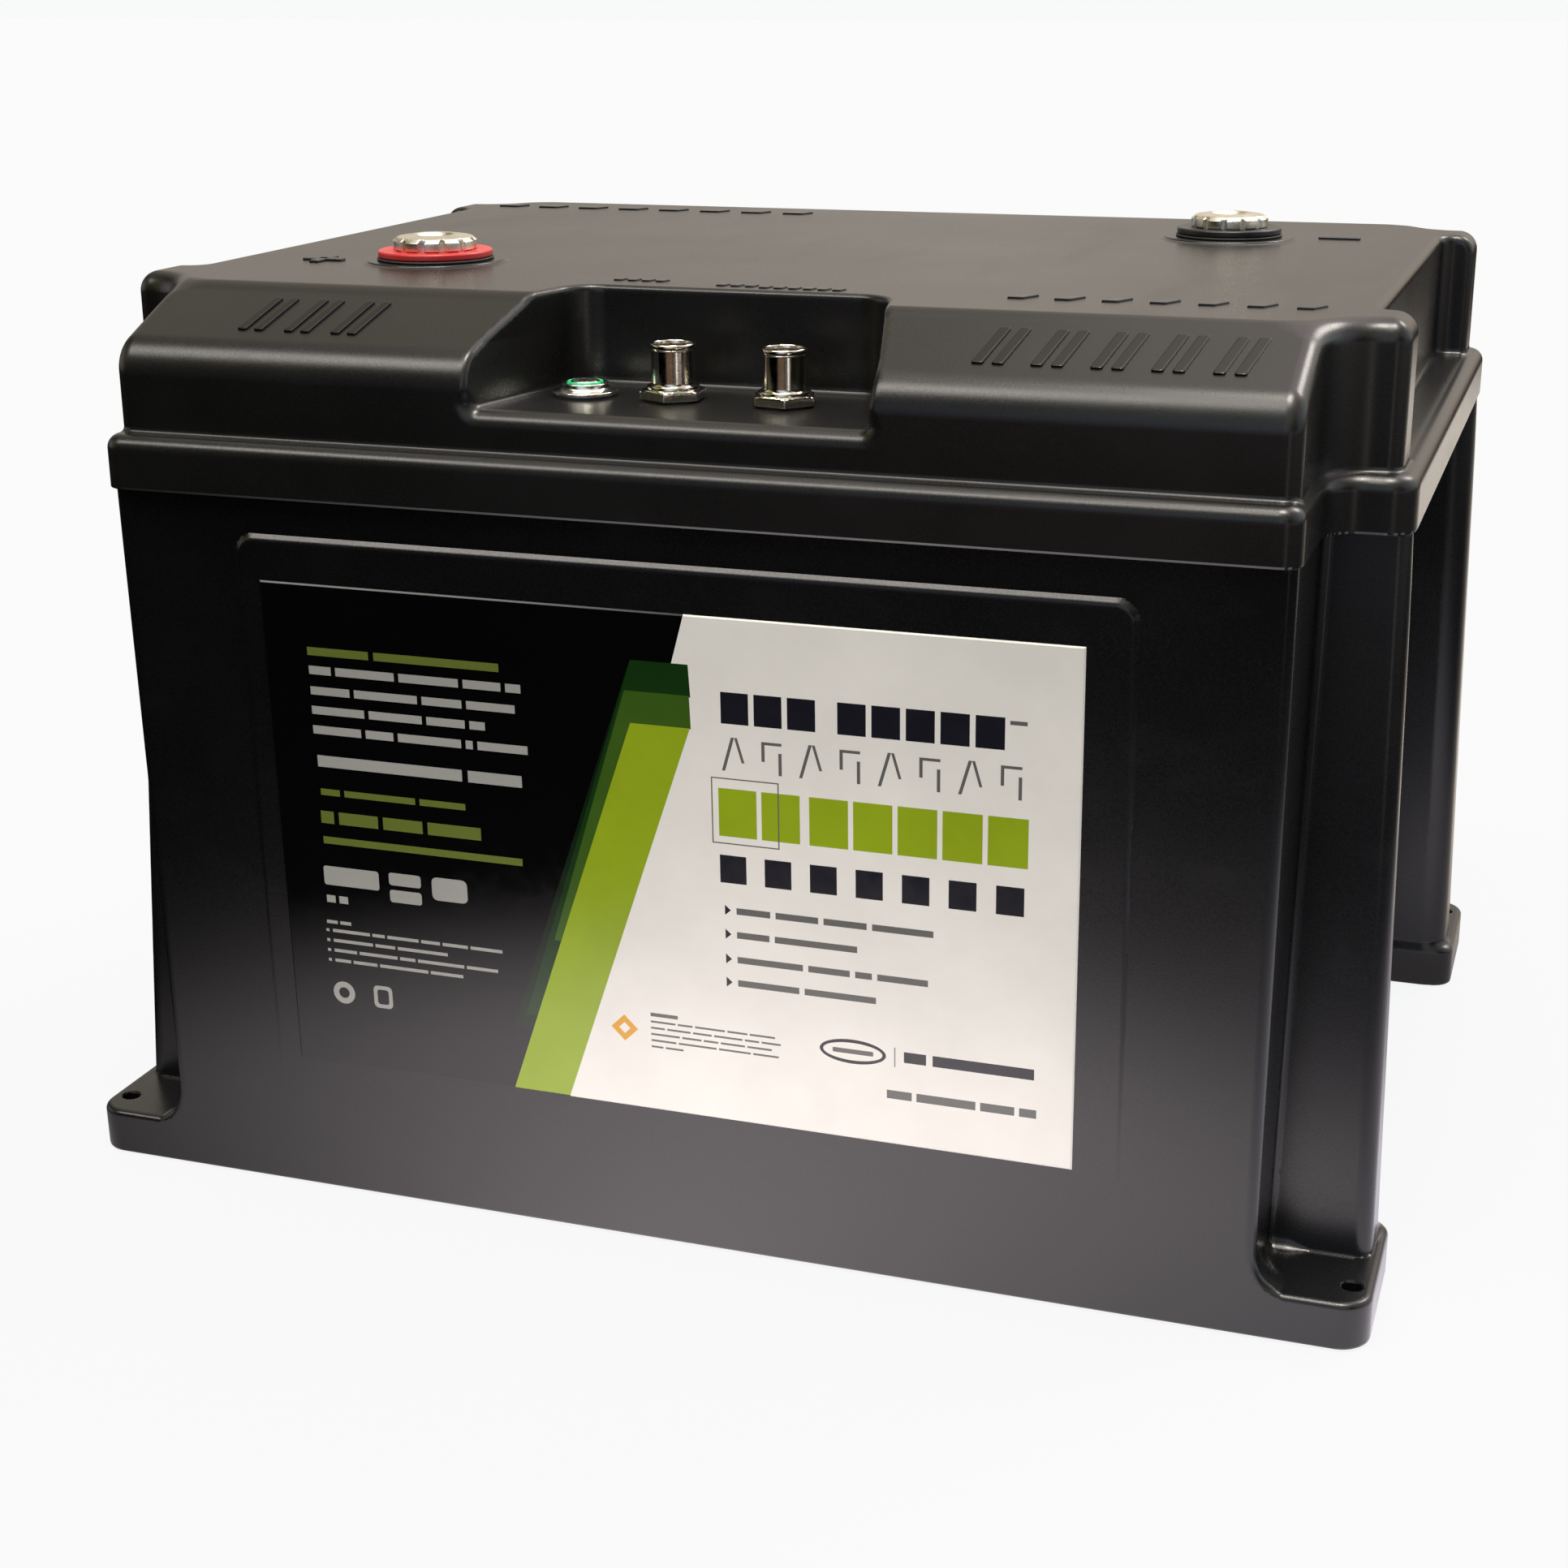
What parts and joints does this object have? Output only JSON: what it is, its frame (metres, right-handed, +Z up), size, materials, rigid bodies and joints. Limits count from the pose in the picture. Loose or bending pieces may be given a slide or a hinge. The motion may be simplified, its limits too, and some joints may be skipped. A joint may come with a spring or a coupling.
{
  "type": "deep cycle battery",
  "caption": "Black moulded lithium deep cycle battery with bolt-down feet, carry recesses, two round stud terminals, two round bus ports and a lit push button.",
  "frame": {"origin": "centre of the footprint on the ground, under the middle of the case", "axes": "+Z up, the labelled front faces -Y, +X to the right seen from the front"},
  "size_m": [0.386, 0.3246, 0.2716],
  "materials": {
    "case_black": "moulded matt",
    "lid_black": "moulded matt",
    "gasket": "matt",
    "label": "gloss film",
    "terminal_metal": "nickel plated",
    "ring_red": "satin",
    "ring_black": "matt",
    "seal_rubber": "matt",
    "port_metal": "nickel plated",
    "insert_black": "matt",
    "pin_gold": "gold plated",
    "button_metal": "satin nickel",
    "button_cap_metal": "brushed",
    "light_green": "lit",
    "spring_steel": "bright",
    "cell_blue": "shrink film",
    "post_aluminium": "machined",
    "busbar_copper": "bare copper",
    "spacer_board": "matt",
    "plate_aluminium": "sheet",
    "strap_black": "woven band",
    "foam_grey": "foam",
    "heater_film": "film",
    "board_green": "solder mask",
    "component_black": "matt",
    "capacitor_blue": "sleeve",
    "connector_white": "matt",
    "cable_red": "insulation",
    "cable_black": "insulation",
    "wire_green": "insulation",
    "wire_yellow": "insulation"
  },
  "bodies": {
    "battery": {"case_tub": "case_black", "case_lid": "lid_black", "lid_gasket": "gasket", "front_label": "label", "positive_terminal": "terminal_metal", "negative_terminal": "terminal_metal", "positive_ring": "ring_red", "negative_ring": "ring_black", "positive_seal": "seal_rubber", "negative_seal": "seal_rubber", "terminal_nuts": "terminal_metal", "port_a_shell": "port_metal", "port_b_shell": "port_metal", "port_a_insert": "insert_black", "port_b_insert": "insert_black", "port_pins": "pin_gold", "port_nuts": "port_metal", "port_seals": "seal_rubber", "button_bezel": "button_metal", "button_light_ring": "light_green", "button_spring": "spring_steel", "button_nut": "button_metal", "button_seal": "seal_rubber", "button_contact_block": "insert_black", "cell_1": "cell_blue", "cell_2": "cell_blue", "cell_3": "cell_blue", "cell_4": "cell_blue", "cell_posts": "post_aluminium", "busbars": "busbar_copper", "busbar_nuts": "spring_steel", "cell_spacers": "spacer_board", "end_plates": "plate_aluminium", "pack_straps": "strap_black", "base_pad": "foam_grey", "heater_pads": "heater_film", "foam_blocks": "foam_grey", "bms_tray": "plate_aluminium", "tray_screws": "spring_steel", "bms_standoffs": "pin_gold", "bms_board": "board_green", "bms_transistors": "component_black", "bms_heatsink": "plate_aluminium", "bms_screws": "spring_steel", "bms_capacitors": "capacitor_blue", "bms_connectors": "connector_white", "positive_cable": "cable_red", "negative_cable": "cable_black", "pack_negative_cable": "cable_black", "port_harness": "cable_black", "button_harness": "wire_green", "heater_harness": "cable_red", "balance_harness": "wire_yellow"},
    "button": {"button_cap": "button_cap_metal"}
  },
  "joints": [
    {"name": "button_press", "type": "slide", "parent": "battery", "child": "button", "axis": [0, 0, -1], "range_m": [0, 0.0012], "deforming": ["button_spring"]}
  ]
}
